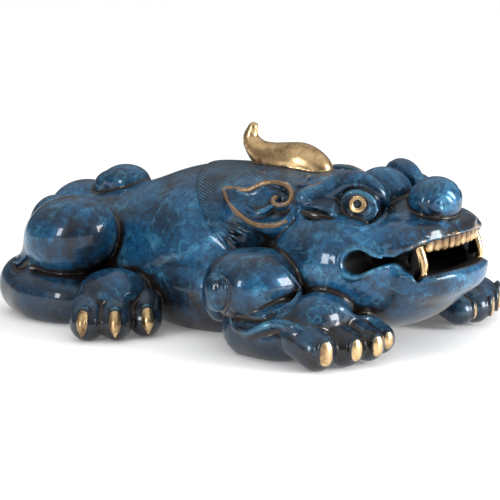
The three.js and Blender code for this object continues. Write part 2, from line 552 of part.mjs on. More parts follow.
// Makes fewer, larger triangles where the surface is calm. Edges are closed up one by one, the one
// that moves the surface least first, and none where that would fold the skin or pinch it.
const PULL_TO_MIDDLE = 2e-3;    // holds a meeting place near its edge's middle where all is flat
const COST_OF_SPAN = 1e-4;      // closes short edges first where all is flat
const LEAST_FACING = 0.25;      // cosine of the most that a triangle may turn
const LEAST_AREA = 1e-3;
function thinOut({ places, triangles }, wanted) {
  const faces = triangles.slice();
  const position = places.slice();
  const vertices = position.length / 3;
  const around = Array.from({ length: vertices }, () => []);
  const errors = new Float64Array(10 * vertices);
  const version = new Uint32Array(vertices);
  const place = [0, 0, 0];
  const merged = new Float64Array(10);
  const heap = [];
  let count = faces.length / 3;

  function normalOf(a, b, c, moved, x, y, z) {
    const placeOf = (v) => (v === moved ? [x, y, z] : position.subarray(3 * v, 3 * v + 3));
    const p = [a, b, c].map(placeOf);
    const [ux, uy, uz] = [p[1][0] - p[0][0], p[1][1] - p[0][1], p[1][2] - p[0][2]];
    const [vx, vy, vz] = [p[2][0] - p[0][0], p[2][1] - p[0][1], p[2][2] - p[0][2]];
    return [uy * vz - uz * vy, uz * vx - ux * vz, ux * vy - uy * vx];
  }

  function errorAt(q, x, y, z) {
    return q[0] * x * x + q[4] * y * y + q[7] * z * z + q[9]
      + 2 * (q[1] * x * y + q[2] * x * z + q[5] * y * z + q[3] * x + q[6] * y + q[8] * z);
  }

  // Leaves the best place for the two ends of an edge to meet in place, and returns its error.
  function meet(a, b) {
    const q = merged;
    for (let n = 0; n < 10; n++) {
      q[n] = errors[10 * a + n] + errors[10 * b + n];
    }
    const [ax, ay, az] = [position[3 * a], position[3 * a + 1], position[3 * a + 2]];
    const [bx, by, bz] = [position[3 * b], position[3 * b + 1], position[3 * b + 2]];
    const span = (ax - bx) ** 2 + (ay - by) ** 2 + (az - bz) ** 2;
    const hold = PULL_TO_MIDDLE * (q[0] + q[4] + q[7]);
    const [mx, my, mz] = [(ax + bx) / 2, (ay + by) / 2, (az + bz) / 2];
    const [xx, xy, xz, yy, yz, zz] = [q[0] + hold, q[1], q[2], q[4] + hold, q[5], q[7] + hold];
    const [rx, ry, rz] = [hold * mx - q[3], hold * my - q[6], hold * mz - q[8]];
    const [cx, cy, cz] = [yy * zz - yz * yz, yz * xz - xy * zz, xy * yz - yy * xz];
    const scale = 1 / (xx * cx + xy * cy + xz * cz);
    place[0] = scale * (rx * cx + ry * cy + rz * cz);
    place[1] = scale * (rx * cy + ry * (xx * zz - xz * xz) + rz * (xy * xz - xx * yz));
    place[2] = scale * (rx * cz + ry * (xy * xz - xx * yz) + rz * (xx * yy - xy * xy));
    return errorAt(q, place[0], place[1], place[2]) + COST_OF_SPAN * span;
  }

  function push(item) {
    let i = heap.push(item) - 1;
    while (i > 0) {
      const parent = (i - 1) >> 1;
      if (heap[parent].cost <= item.cost) {
        break;
      }
      heap[i] = heap[parent];
      i = parent;
    }
    heap[i] = item;
  }

  function pop() {
    const top = heap[0];
    const item = heap.pop();
    const size = heap.length;
    if (size > 0) {
      let i = 0;
      for (;;) {
        let child = 2 * i + 1;
        if (child + 1 < size && heap[child + 1].cost < heap[child].cost) {
          child += 1;
        }
        if (child >= size || item.cost <= heap[child].cost) {
          break;
        }
        heap[i] = heap[child];
        i = child;
      }
      heap[i] = item;
    }
    return top;
  }

  function offer(a, b) {
    push({ a, b, cost: meet(a, b), stamp: version[a] + version[b] });
  }

  function neighbours(a) {
    const found = new Set();
    for (const f of around[a]) {
      for (let n = 0; n < 3; n++) {
        found.add(faces[3 * f + n]);
      }
    }
    found.delete(a);
    return found;
  }

  function folds(a, b) {
    for (const f of around[a]) {
      const [p, q, r] = [faces[3 * f], faces[3 * f + 1], faces[3 * f + 2]];
      if (p === b || q === b || r === b) {
        continue;
      }
      const before = normalOf(p, q, r, -1, 0, 0, 0);
      const after = normalOf(p, q, r, a, place[0], place[1], place[2]);
      const facing = before[0] * after[0] + before[1] * after[1] + before[2] * after[2];
      const size = Math.hypot(...after);
      if (facing < LEAST_FACING * Math.hypot(...before) * size || size < LEAST_AREA) {
        return true;
      }
    }
    return false;
  }

  for (let f = 0; f < count; f++) {
    const [a, b, c] = [faces[3 * f], faces[3 * f + 1], faces[3 * f + 2]];
    const normal = normalOf(a, b, c, -1, 0, 0, 0);
    const size = Math.hypot(...normal) || 1;
    const [nx, ny, nz] = normal.map((part) => part / size);
    const d = -(nx * position[3 * a] + ny * position[3 * a + 1] + nz * position[3 * a + 2]);
    const terms = [nx * nx, nx * ny, nx * nz, nx * d, ny * ny, ny * nz, ny * d, nz * nz, nz * d, d * d];
    for (const v of [a, b, c]) {
      around[v].push(f);
      for (let n = 0; n < 10; n++) {
        errors[10 * v + n] += 0.5 * size * terms[n];
      }
    }
  }
  for (let f = 0; f < count; f++) {
    for (let n = 0; n < 3; n++) {
      const a = faces[3 * f + n];
      const b = faces[3 * f + (n + 1) % 3];
      if (a < b) {
        offer(a, b);
      }
    }
  }

  while (count > wanted && heap.length > 0) {
    const { a, b, stamp } = pop();
    if (around[a].length === 0 || around[b].length === 0 || stamp !== version[a] + version[b]) {
      continue;
    }
    const near = neighbours(a);
    let shared = 0;
    for (const v of neighbours(b)) {
      shared += near.has(v) ? 1 : 0;
    }
    meet(a, b);
    if (shared !== 2 || folds(a, b) || folds(b, a)) {
      continue;
    }
    for (const f of around[b]) {
      const corners = [faces[3 * f], faces[3 * f + 1], faces[3 * f + 2]];
      if (corners.includes(a)) {
        for (const v of corners) {
          if (v !== b) {
            around[v] = around[v].filter((other) => other !== f);
          }
        }
        faces[3 * f] = -1;
        count -= 1;
      } else {
        faces[3 * f + corners.indexOf(b)] = a;
        around[a].push(f);
      }
    }
    around[b] = [];
    position.set(place, 3 * a);
    errors.set(merged, 10 * a);
    version[a] += 1;
    for (const v of neighbours(a)) {
      offer(a, v);
    }
  }
  return { places: position, triangles: faces, kept: around.map((list) => list.length > 0) };
}

// The finished skin. Points that thinning has left just off the ground are set down on it.
function geometryOf({ places, triangles, kept }) {
  const ground = 0.2 * GRID;
  const order = [];
  const positions = [];
  kept.forEach((used, v) => {
    order.push(used ? positions.length / 3 : -1);
    if (used) {
      const height = places[3 * v + 2];
      positions.push(places[3 * v], places[3 * v + 1], height < ground ? 0 : height);
    }
  });
  const index = [];
  for (let f = 0; f < triangles.length; f += 3) {
    if (triangles[f] >= 0) {
      index.push(order[triangles[f]], order[triangles[f + 1]], order[triangles[f + 2]]);
    }
  }
  const geometry = new THREE.BufferGeometry();
  geometry.setAttribute('position', new THREE.Float32BufferAttribute(positions, 3));
  geometry.setIndex(index);
  geometry.computeVertexNormals();
  return geometry;
}

const clay = new Clay(spot(-54, -41, -1), spot(56, 41, 42));
trunk(clay);
tail(clay);
head(clay);
nose(clay);
for (const side of SIDES) {
  eye(clay, side);
  ear(clay, side);
  foreleg(clay, side);
  hindLeg(clay, side);
}
horn(clay);
mouth(clay);
teeth(clay);
grindFlat(clay);
closePinches(clay);
fillPockets(clay);

const geometry = geometryOf(thinOut(drawSkin(clay), FACETS));
geometry.computeBoundingBox();
const middle = geometry.boundingBox.getCenter(new THREE.Vector3());
geometry.translate(-middle.x, -middle.y, 0);

const bluePatina = new THREE.MeshStandardMaterial({ color: 0x16395c, roughness: 0.3, metalness: 0.6 });
const figure = new THREE.Mesh(geometry, bluePatina);
figure.name = 'pixiu_figure';

const pixiu = new THREE.Group();
pixiu.add(figure);
export default pixiu;
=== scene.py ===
# A pixiu figure: a crouching horned guardian beast, cast hollow in brass by the lost-wax process,
# stained with a mottled dark blue patina under gloss lacquer, and polished bare on its horn, eye
# rings, teeth and claws.
import math
import bpy
import numpy as np
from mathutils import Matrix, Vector


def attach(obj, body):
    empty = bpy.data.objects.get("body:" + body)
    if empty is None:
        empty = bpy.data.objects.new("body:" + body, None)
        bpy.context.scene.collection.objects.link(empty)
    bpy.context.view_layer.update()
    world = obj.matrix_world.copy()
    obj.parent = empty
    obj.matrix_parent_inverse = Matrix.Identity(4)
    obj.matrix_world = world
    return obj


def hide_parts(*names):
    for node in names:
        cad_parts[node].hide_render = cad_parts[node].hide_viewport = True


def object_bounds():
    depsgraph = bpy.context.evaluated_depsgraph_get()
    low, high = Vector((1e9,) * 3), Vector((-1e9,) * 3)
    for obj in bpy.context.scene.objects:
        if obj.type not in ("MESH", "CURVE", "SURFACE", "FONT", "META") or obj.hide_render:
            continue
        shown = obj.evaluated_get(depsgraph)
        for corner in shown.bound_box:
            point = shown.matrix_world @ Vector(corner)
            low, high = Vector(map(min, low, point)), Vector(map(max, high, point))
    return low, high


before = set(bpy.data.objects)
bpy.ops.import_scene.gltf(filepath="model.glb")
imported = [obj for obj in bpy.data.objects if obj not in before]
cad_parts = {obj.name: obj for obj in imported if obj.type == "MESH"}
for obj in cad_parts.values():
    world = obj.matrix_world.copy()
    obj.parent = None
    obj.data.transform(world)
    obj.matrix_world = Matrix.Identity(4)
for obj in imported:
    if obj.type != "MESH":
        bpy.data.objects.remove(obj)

cad_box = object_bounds()
scene = bpy.context.scene


# Camera: a long lens, low in front of the figure's right shoulder. Angles are in degrees and
# distances in metres.
CAMERA_AIM = Vector((0, 0, 0.0399))
CAMERA_AZIMUTH = 35
CAMERA_CLIMB = 11
CAMERA_DISTANCE = 1.442
CAMERA_LENS = 178.7
CAMERA_CLIP = 20


def aim(holder, azimuth, climb, distance):
    """Set a camera or lamp facing the figure, by its azimuth from the figure's right side."""
    turn, lift = math.radians(azimuth), math.radians(climb)
    away = Vector((math.sin(turn) * math.cos(lift), -math.cos(turn) * math.cos(lift), math.sin(lift)))
    holder.location = CAMERA_AIM + distance * away
    holder.rotation_euler = away.to_track_quat("Z", "Y").to_euler()
    scene.collection.objects.link(holder)


camera = bpy.data.objects.new("camera", bpy.data.cameras.new("camera"))
camera.data.lens = CAMERA_LENS
camera.data.clip_end = CAMERA_CLIP
aim(camera, CAMERA_AZIMUTH, CAMERA_CLIMB, CAMERA_DISTANCE)
scene.camera = camera


# Trunk: barrel chest, belly spread on the ground, loins and rump. The founder's wax was built up
# from masses like these, so the figure is one block of distances to its skin, and masses are added
# to it and cut from it. Places and sizes are in hundredths of its length.
LENGTH = 0.300
HUNDREDTH = LENGTH / 100
MM = 0.001 / HUNDREDTH
GRID = 0.9 * MM
MARGIN = 3 * GRID
FAR = 10.0
THINNEST = 0.05
BLOCK_LOW = (-54, 0, -2 * GRID)
BLOCK_HIGH = (56, 41, 42)
SIDES = (-1, 1)


class Clay:
    """The left half of the figure as distances to its skin, less than zero inside; the right
    half is its mirror image."""

    def __init__(self, low, high):
        self.axes = [a + GRID * np.arange(int((b - a) / GRID) + 1) for a, b in zip(low, high)]
        self.field = np.full([len(axis) for axis in self.axes], FAR, np.float32)

    def near(self, box, margin):
        """The part of the block within a margin of a box, and its grid lines."""
        window = tuple(
            slice(np.searchsorted(axis, low - margin), np.searchsorted(axis, high + margin))
            for axis, low, high in zip(self.axes, *box)
        )
        around = [axis[part].astype(np.float32) for axis, part in zip(self.axes, window)]
        return window, np.meshgrid(*around, indexing="ij", sparse=True)

    def add(self, mass, blend=0.0):
        box, distance = mass
        window, (x, y, z) = self.near(box, blend + MARGIN)
        self.field[window] = soft_min(self.field[window], distance(x, y, z), blend)

    def cut(self, mass, blend=0.0):
        box, distance = mass
        window, (x, y, z) = self.near(box, blend + MARGIN)
        self.field[window] = -soft_min(-self.field[window], distance(x, y, z), blend)

    def raise_by(self, box, height):
        window, (x, y, z) = self.near(box, 0)
        self.field[window] -= height(x, y, z)


def soft_min(a, b, blend):
    """The lesser of two distances, rounded off where they are within a blend of each other."""
    if blend <= 0:
        return np.minimum(a, b)
    share = np.clip(blend - np.abs(a - b), 0, None) / blend
    return np.minimum(a, b) - share**3 * (blend / 6)


def turned(heading=0.0, pitch=0.0, lean=0.0):
    """The turn of a mass: its heading about +Z, then its pitch, then its lean, in degrees."""
    a, b, c = np.radians([heading, pitch, lean])
    about_z = np.array([[np.cos(a), -np.sin(a), 0], [np.sin(a), np.cos(a), 0], [0, 0, 1]])
    about_y = np.array([[np.cos(b), 0, np.sin(b)], [0, 1, 0], [-np.sin(b), 0, np.cos(b)]])
    about_x = np.array([[1, 0, 0], [0, np.cos(c), -np.sin(c)], [0, np.sin(c), np.cos(c)]])
    return about_z @ about_y @ about_x


def egg(centre, radii, heading=0.0, pitch=0.0, lean=0.0, squareness=2.0):
    """An egg-shaped mass. A squareness over 2 fills out its corners."""
    turn = turned(heading, pitch, lean)
    spans = turn * radii
    half = np.abs(spans).sum(1) if squareness > 2 else np.sqrt((spans**2).sum(1))

    def distance(x, y, z):
        offset = (x - centre[0], y - centre[1], z - centre[2])
        parts = [np.abs(sum(offset[n] * turn[n, i] for n in range(3))) / radii[i] for i in range(3)]
        if squareness == 2:
            size = np.sqrt(sum(part * part for part in parts)) + 1e-6
            slope = np.sqrt(sum((part / radius) ** 2 for part, radius in zip(parts, radii))) + 1e-9
            return size * (size - 1) / slope
        rise = squareness - 1
        size = sum(part**squareness for part in parts) ** (1 / squareness) + 1e-6
        slope = np.sqrt(sum((part**rise / radius) ** 2 for part, radius in zip(parts, radii))) + 1e-9
        return size**rise * (size - 1) / slope

    return (centre - half, centre + half), distance


def curve(points, steps):
    """Points along a smooth curve through the ones given, whatever numbers each holds."""
    rows = np.array(points, float)
    if len(rows) == 2:
        return np.linspace(rows[0], rows[1], steps + 1)
    rows = np.vstack([2 * rows[0] - rows[1], rows, 2 * rows[-1] - rows[-2]])
    found = []
    for a, b, c, d in zip(rows, rows[1:], rows[2:], rows[3:]):
        for t in np.arange(steps) / steps:
            bend = (2 * a - 5 * b + 4 * c - d) * t**2 + (3 * b - a - 3 * c + d) * t**3
            found.append((2 * b + (c - a) * t + bend) / 2)
    return np.array([*found, rows[-2]])


def roll(points, radii, steps=5, wide=0.0):
    """A round roll of clay along a curve; a wide one is drawn out sideways by that much."""
    beads = np.column_stack([curve(points, steps), curve(np.array(radii)[:, None], steps)])
    beads[:, 3] = np.maximum(beads[:, 3], THINNEST)
    reach = beads[:, 3:4] + np.array([0, wide, 0])
    middle = beads[0, 1]

    def distance(x, y, z):
        if wide:
            y = middle + np.sign(y - middle) * np.maximum(np.abs(y - middle) - wide, 0)
        nearest = 1e3
        for a, b in zip(beads, beads[1:]):
            v = b[:3] - a[:3]
            offset = (x - a[0], y - a[1], z - a[2])
            share = np.clip(sum(d * w for d, w in zip(offset, v)) / (v @ v), 0, 1)
            gap = sum((d - share * w) ** 2 for d, w in zip(offset, v))
            nearest = np.minimum(nearest, np.sqrt(gap) - a[3] - share * (b[3] - a[3]))
        return nearest

    return ((beads[:, :3] - reach).min(0), (beads[:, :3] + reach).max(0)), distance


def spot(x, y, z):
    return np.array([x, y, z], float)


def reach(start, heading, climb, distance):
    """A point at a distance from another, by its heading from +X and its climb in degrees."""
    a, b = math.radians(heading), math.radians(climb)
    return start + distance * spot(math.cos(b) * math.cos(a), math.cos(b) * math.sin(a), math.sin(b))


def along(rows, side):
    """Rows for the left side as spots on either side."""
    return [spot(x, side * y, z) for x, y, z in rows]


clay = Clay(BLOCK_LOW, BLOCK_HIGH)
clay.add(egg(spot(-5.2, 0, 14.7), (20.5, 17.9, 15.2)))  # chest
clay.add(egg(spot(-1.9, 0, 8.3), (21.2, 20.5, 12.2)), 6.4)  # belly
clay.add(egg(spot(-21.2, 0, 11.5), (19.9, 16.7, 13.1)), 7.7)  # loins
clay.add(egg(spot(-34, 0, 9.6), (12.2, 14.7, 11.5)), 5.1)  # rump


# Tail: a thick root behind, a curl on each side of it, and the tip folded forward on the back. It
# lies close against the rump, and is one with it in the casting.
clay.add(egg(spot(-40.4, 0, 15.4), (9, 7.7, 8)), 1.9)  # root
for side in SIDES:
    clay.add(egg(spot(-44.4, side * 5.4, 13.6), (5.8, 5.4, 7)), 0.6)  # curl
clay.add(egg(spot(-30.6, 0, 24), (5.1, 4.5, 3.4)), 0.6)  # tip
clay.add(egg(spot(-34.4, 0, 23), (3.2, 3.8, 2.9)), 0.9)  # bend behind the tip


# Neck and skull: the thick neck that comes forward out of the trunk, the back of the head, and the
# low crown between the ears.
clay.add(egg(spot(8.3, 0, 21.2), (19.2, 16, 9.6)), 3.2)  # neck
clay.add(egg(spot(21.2, 0, 18.6), (14.1, 15.4, 11.5)), 3.2)  # skull
clay.add(egg(spot(20, 0, 25), (9, 10, 5.4)), 2)  # crown


# Mane: a mantle of hair that lies a little proud of the neck. Its fine strands are grooved in
# the finish, because they are too fine for the block.
MANE_STEP = 1.3 * MM
MANE_LEAN = 0.705
MANE_DROOP = 0.07
MANE_BACK = 14.4


def ramp(value, low, high):
    """From 0 at the low value to 1 at the high one, eased at both."""
    share = np.clip((value - low) / (high - low), 0, 1)
    return share * share * (3 - 2 * share)


def mane_edge(x, y, z):
    """How far a point is in front of the mane's back edge, which falls forward over the neck."""
    return MANE_LEAN * x - MANE_DROOP * np.abs(y) + MANE_LEAN * z - MANE_BACK


def mane_height(x, y, z):
    return MANE_STEP * ramp(mane_edge(x, y, z), 0, 0.45) * (1 - ramp(x, 12, 18)) * ramp(z, 19, 23)


clay.raise_by((spot(-14, 0, 14), spot(20, 24, 34)), mane_height)


# Face: the broad lower jaw, the cheeks, temples and upper lip, the muzzle with the bridge behind
# the nose, and the boss of the forehead.
clay.add(egg(spot(27.6, 0, 11.9), (17.9, 16.2, 9.6)), 2.6)  # lower jaw
clay.add(egg(spot(34, 0, 14.3), (15.2, 14.6, 6.2), squareness=2.4), 3)  # lower lip
for side in SIDES:
    clay.add(egg(spot(27.6, side * 13.5, 16), (12.2, 8.3, 9.3)), 3.2)  # cheek
    clay.add(egg(spot(38, side * 9.6, 20), (7, 5.4, 4.6)), 2)  # side of the upper lip
    clay.add(egg(spot(23.6, side * 11.5, 24.6), (5.6, 4.6, 4)), 1.6)  # temple
clay.add(egg(spot(36, 0, 20.6), (10.6, 11.3, 4.2), squareness=2.8), 1.6)  # upper jaw
clay.add(egg(spot(35.5, 0, 20.4), (10.9, 11.5, 6)), 1.6)  # muzzle
clay.add(egg(spot(41.4, 0, 22.2), (4.8, 10, 2.3), squareness=3), 1.2)  # upper lip
clay.add(egg(spot(35.5, 0, 24), (6, 5, 3.8)), 2)  # bridge behind the nose
clay.add(egg(spot(29.7, 0, 27.1), (5.8, 5.3, 5.3)), 0.6)  # boss of the forehead


# Locks of hair that hang out of the mane below the ear, with a dab of wax in the gap under them,
# and small curls of it on the crown, between the horn and the brows.
LOCKS = [
    [(2.4, 15.7, 21.6), (6, 16.4, 21.1), (9.2, 16.5, 20.3), (10.8, 16.2, 19.7)],
    [(1.4, 15.8, 20.9), (3.8, 15.9, 20.2), (6.8, 16.3, 19.5), (8.9, 16, 18.7)],
    [(1.2, 15.9, 20.4), (3.8, 16, 19.6), (6.2, 16.1, 18.8), (7.4, 16, 17.9)],
    [(1.4, 16, 20), (3.2, 16, 19.1), (4.7, 16, 18.1), (5.5, 16.1, 17)],
]
LOCK_RADII = (0.1, 0.35, 0.35, 0.1)
# Each curl's place, and the turn in radians that its spiral starts from.
CURLS = [(16.9, 7.4, 28.7, 0), (18.2, 4.9, 29.8, 40), (20.8, 6.6, 29.3, -20), (21.4, 3, 30.1, 30)]
CURL_RADIUS = 1.5
CURL_TIGHTENING = 0.16
CURL_STEP = 0.8
for side in SIDES:
    for lock in LOCKS:
        clay.add(roll(along(lock, side), LOCK_RADII), 0.15)
    clay.add(egg(spot(7.2, side * 15.6, 18), (0.6, 0.6, 0.6)), 0.3)
    for x, y, z, start in CURLS:
        spiral = []
        for n in range(8):
            turn = start + CURL_STEP * n
            radius = CURL_RADIUS - CURL_TIGHTENING * n
            out = radius * spot(math.cos(turn), side * math.sin(turn), 0.1)
            spiral.append(spot(x, side * y, z) + out)
        clay.add(roll(spiral, [0.3] * len(spiral), 3), 0.3)


# Nose: one round ball. Each nostril is a small hole in its side, and the wing round it is a raised
# scroll that comes out of the hole.
NOSE_HALF = 32.5 * MM / 2
NOSTRIL_HEADING = 42
SCROLL_HEADING = 48
SCROLL_CLIMB = -2
SCROLL_GROWTH = 0.06
SCROLL_TURNS = range(-60, 540, 25)
nose_centre = spot(41, 0, 27.2)
nose_radii = np.array((0.9 * NOSE_HALF, NOSE_HALF, 0.82 * NOSE_HALF))
clay.add(egg(nose_centre, nose_radii), 0.4)
for side in SIDES:
    scroll = []
    for turn in np.radians(SCROLL_TURNS):
        spread = SCROLL_GROWTH * (turn + 2)
        heading = SCROLL_HEADING + math.degrees(spread * math.cos(turn))
        climb = SCROLL_CLIMB + math.degrees(spread * math.sin(turn))
        scroll.append(nose_centre + nose_radii * reach(spot(0, 0, 0), side * heading, climb, 1))
    clay.cut(roll(scroll, np.linspace(0.24, 0.2, len(scroll)), 2), 0.4)
    nostril = reach(nose_centre, side * NOSTRIL_HEADING, -1, 0.97 * NOSE_HALF)
    clay.cut(egg(nostril, (0.7, 0.45, 1.3), heading=side * NOSTRIL_HEADING), 0.3)


# Eyes: the ball, its lids, the polished ring set into it, the thick S-shaped brow over it with a
# ridge along its edge, and the folded pouch under it.
EYE_RADIUS = 11 * MM
eye_centres = {side: spot(30.6, side * 9.1, 26) for side in SIDES}
BROW = [(34, 5.6, 26.6), (33.1, 6.9, 28.7), (30.3, 7.9, 30.4), (27.1, 9.8, 30.3), (24.4, 11.8, 28.3),
    (21.6, 13.8, 27.6)]
BROW_RIDGE = [(34.2, 4.9, 27.4), (32.7, 6.1, 29.9), (29.5, 6.8, 31.7), (26.2, 8.6, 31.7),
    (23.6, 10.9, 30.3), (20.9, 12.8, 29.3)]
EYE_HOLLOW = [(28.4, 15.3, 24.9), (25, 15.5, 25), (22, 15.7, 25.4)]
UPPER_LID = [(27.3, 11.2, 26.2), (28.3, 11.6, 27.9), (29.8, 11.6, 29), (31.4, 11.1, 29.2),
    (32.9, 10.6, 28.7), (34, 10.2, 27.6), (34.5, 9.8, 26.1)]
LOWER_LID = [(34.5, 9.8, 26.3), (34.1, 10.4, 25.2), (33.4, 11.3, 24.4), (31.9, 12.2, 24.1),
    (29.9, 12.5, 24.4), (27.5, 11.6, 25.4), (26, 12.4, 26)]
POUCH = [(34, 6.1, 25.6), (35, 8.7, 24.7), (35.6, 11.8, 23.9), (35, 13.3, 23.5), (34.1, 15.6, 23.4),
    (32.3, 16.5, 23.8), (30.4, 17, 24), (28, 17.6, 23.6)]
RING_HEADING = 69
RING_CLIMB = 22
for side in SIDES:
    clay.add(egg(eye_centres[side], (EYE_RADIUS, EYE_RADIUS, EYE_RADIUS)), 0.4)
    clay.add(roll(along(BROW, side), (0.8, 1.4, 2, 2.2, 2.3, 1.9)), 0.4)
    clay.add(roll(along(BROW_RIDGE, side), (0.3, 0.35, 0.35, 0.35, 0.35, 0.3)), 0.25)
    clay.add(roll(along(UPPER_LID, side), (0.3, 0.55, 0.6, 0.6, 0.6, 0.5, 0.3)), 0.2)
    clay.add(roll(along(LOWER_LID, side), (0.3, 0.5, 0.5, 0.5, 0.5, 0.4, 0.2)), 0.2)
    clay.cut(roll(along(EYE_HOLLOW, side), (0.6, 1.2, 0.8)), 0.8)
    clay.add(roll(along(POUCH, side), (0.3, 0.5, 0.6, 0.6, 0.6, 0.5, 0.4, 0.3)), 0.5)


# Ears: a pointed leaf lying back along the head and leaning in over it, hollowed outward inside
# a rim that curls over into a scroll, with a full lobe at its root.
EAR_HALF = 26 * MM
EAR_RIM = 4 * MM
EAR_LEAN = 38
EAR_PITCH = 10
EAR_RIM_TOP = [(2.8, 13, 27.4), (4.4, 12.8, 27.6), (6.7, 12.9, 27.6), (8.4, 12.7, 27.7),
    (9.5, 12.3, 28.3), (10.8, 11.7, 29), (12.9, 11.4, 29.4), (15.2, 11.5, 29.3), (17, 12, 28.6),
    (18, 12.8, 27.6), (18.1, 13.6, 26.6), (17.3, 14.1, 26), (15.9, 14.3, 25.8), (14.9, 14.1, 26),
    (14.4, 13.7, 26.5), (14.8, 13.3, 27)]
EAR_RIM_LOW = [(2.8, 13, 27.4), (4.5, 14.2, 25.8), (6.1, 15.2, 24.6), (8.7, 16.1, 23.4),
    (11, 16.8, 22.6), (13.4, 17.1, 22.2), (16, 17, 22.3), (17.6, 16.7, 22.6), (18.8, 16.2, 23.2)]
EAR_SHELL = [(4.9, 13.2, 25.5), (6.9, 13.8, 24.5), (9.9, 15.1, 23.1), (12.9, 15.7, 22.1),
    (15.7, 15.9, 21.9), (17.7, 15.4, 22.4), (18.9, 14.6, 23.3), (19.4, 13.6, 24.6), (18.9, 12.5, 25.9),
    (17.9, 11.7, 27)]
EAR_FOLD = [(4.6, 13.1, 26.3), (7, 13.8, 25.4), (9, 14.5, 24.5), (10.9, 15, 23.8), (12.5, 14.7, 24.2),
    (13.9, 14, 25.2)]
ear_rims = []
for side in SIDES:
    turn = {"pitch": EAR_PITCH, "lean": side * EAR_LEAN}
    root = spot(19.5, side * 13.2, 23.6)
    middle = reach(root, 180 - side * 2, EAR_PITCH, 0.9 * EAR_HALF)
    clay.add(egg(middle, (EAR_HALF, 0.2 * EAR_HALF, 0.56 * EAR_HALF), **turn), 0.6)
    clay.add(egg(spot(16.3, side * 14.2, 22.2), (4, 1.6, 2.8), lean=side * EAR_LEAN), 1)
    leaf = reach(middle, 180, EAR_PITCH, 0.3 * EAR_HALF)
    tip = reach(middle, 180, EAR_PITCH + 4, 1.12 * EAR_HALF)
    clay.add(roll([leaf, tip], (0.16 * EAR_HALF, 0.03 * EAR_HALF)), 0.6)
    clay.add(roll(along(EAR_SHELL, side), (0.7, 0.9, 1.2, 1.4, 1.5, 1.5, 1.5, 1.5, 1.3, 1)), 0.6)
    bowl = reach(middle, side * 90, EAR_LEAN, 0.21 * EAR_HALF)
    inside = (EAR_HALF - 1.2 * EAR_RIM, 0.2 * EAR_HALF, 0.56 * EAR_HALF - 0.95 * EAR_RIM)
    clay.cut(egg(bowl, inside, **turn), 0.3)
    clay.add(roll(along(EAR_FOLD, side), (0.3, 0.5, 0.6, 0.7, 0.7, 0.5)), 0.5)
    for rows in (EAR_RIM_TOP, EAR_RIM_LOW):
        rows = [(x, y + 0.25, z + 0.1) for x, y, z in rows]
        rim = roll(along(rows, side), np.linspace(0.42, 0.48, len(rows)), 3)
        backing = along([(x, y - 0.8, z - 0.4) for x, y, z in rows], side)
        clay.add(roll(backing, np.linspace(0.6, 0.8, len(rows)), 3), 0.4)
        clay.add(rim, 0.2)
        ear_rims.append(rim)


# Horn: one thick S-curve lying back from the forehead, with its tip turned up. The rows hold how
# far back and up the curve has come, and its radius, as shares of its length and thickness.
HORN_LENGTH = 56 * MM
HORN_THICKNESS = 21 * MM
HORN = [(0, 0, 0.35), (0.1, 0.05, 0.75), (0.28, 0.09, 1.02), (0.46, 0.085, 1.02), (0.65, 0.09, 0.9),
    (0.82, 0.15, 0.66), (0.93, 0.27, 0.45), (0.9, 0.4, 0.28)]
horn = roll(
    [spot(17.1, 0, 30) + HORN_LENGTH * spot(-back, 0, up) for back, up, share in HORN],
    [share * HORN_THICKNESS / 2 for back, up, share in HORN],
)
clay.add(horn, 0.3)
bare_masses = [horn]


# Forelegs: a round shoulder with a point to the front and a ridge along its edge, the elbow's
# scroll behind it, the forearm flat on the ground with a fold along it, and a paw of four toes
# fanned out, each with an oval nail of bare brass.
NAIL_HALF = 13.5 * MM / 2
# Each toe's heading and reach from the palm, then its nail's heading and size.
FORE_TOES = [(37.5, 11.5, 33, 1), (10, 12.2, 25, 0.87), (-11, 13.9, 25, 0.83), (-30, 15.1, 25, 0.7)]
SHOULDER_EDGE = [(21.2, 23.8, 18), (24.3, 23.7, 15.8), (25.7, 22.4, 13.4), (26, 22, 12.3),
    (27.3, 24.6, 11.9), (27.5, 26.6, 11.2), (26.4, 28.2, 10.3), (25, 29.4, 9.5)]
ARM_GROOVE = [(15.9, 30.6, 9.7), (16.8, 30, 8.2), (20, 30.2, 7.7), (23.4, 30.4, 8.2),
    (25.3, 29.3, 9.5), (26.6, 28.2, 10.3)]
ARM_FOLD = [(16.2, 30, 7.3), (16.5, 29.7, 6.4), (17.9, 30.3, 5.7), (20.8, 31.1, 5.5),
    (23.8, 31.2, 6.8), (26.6, 30.5, 7.8), (30.2, 31.1, 7.9), (32, 31, 7.5)]
HAND_EDGE = [(30.3, 25.3, 12.2), (32.4, 24.3, 11.9), (34.5, 23.3, 10.9), (35.6, 21.6, 9.4),
    (35.8, 19, 8.1), (36.1, 15.3, 7.3), (37.7, 13.6, 6.9)]
ELBOW_RIM = [(12.8, 29.8, 14.9), (15.3, 30.8, 14.4), (16.5, 31.2, 12.8), (16.2, 31, 10.5),
    (13.9, 29, 8.1), (10, 26, 6.4)]
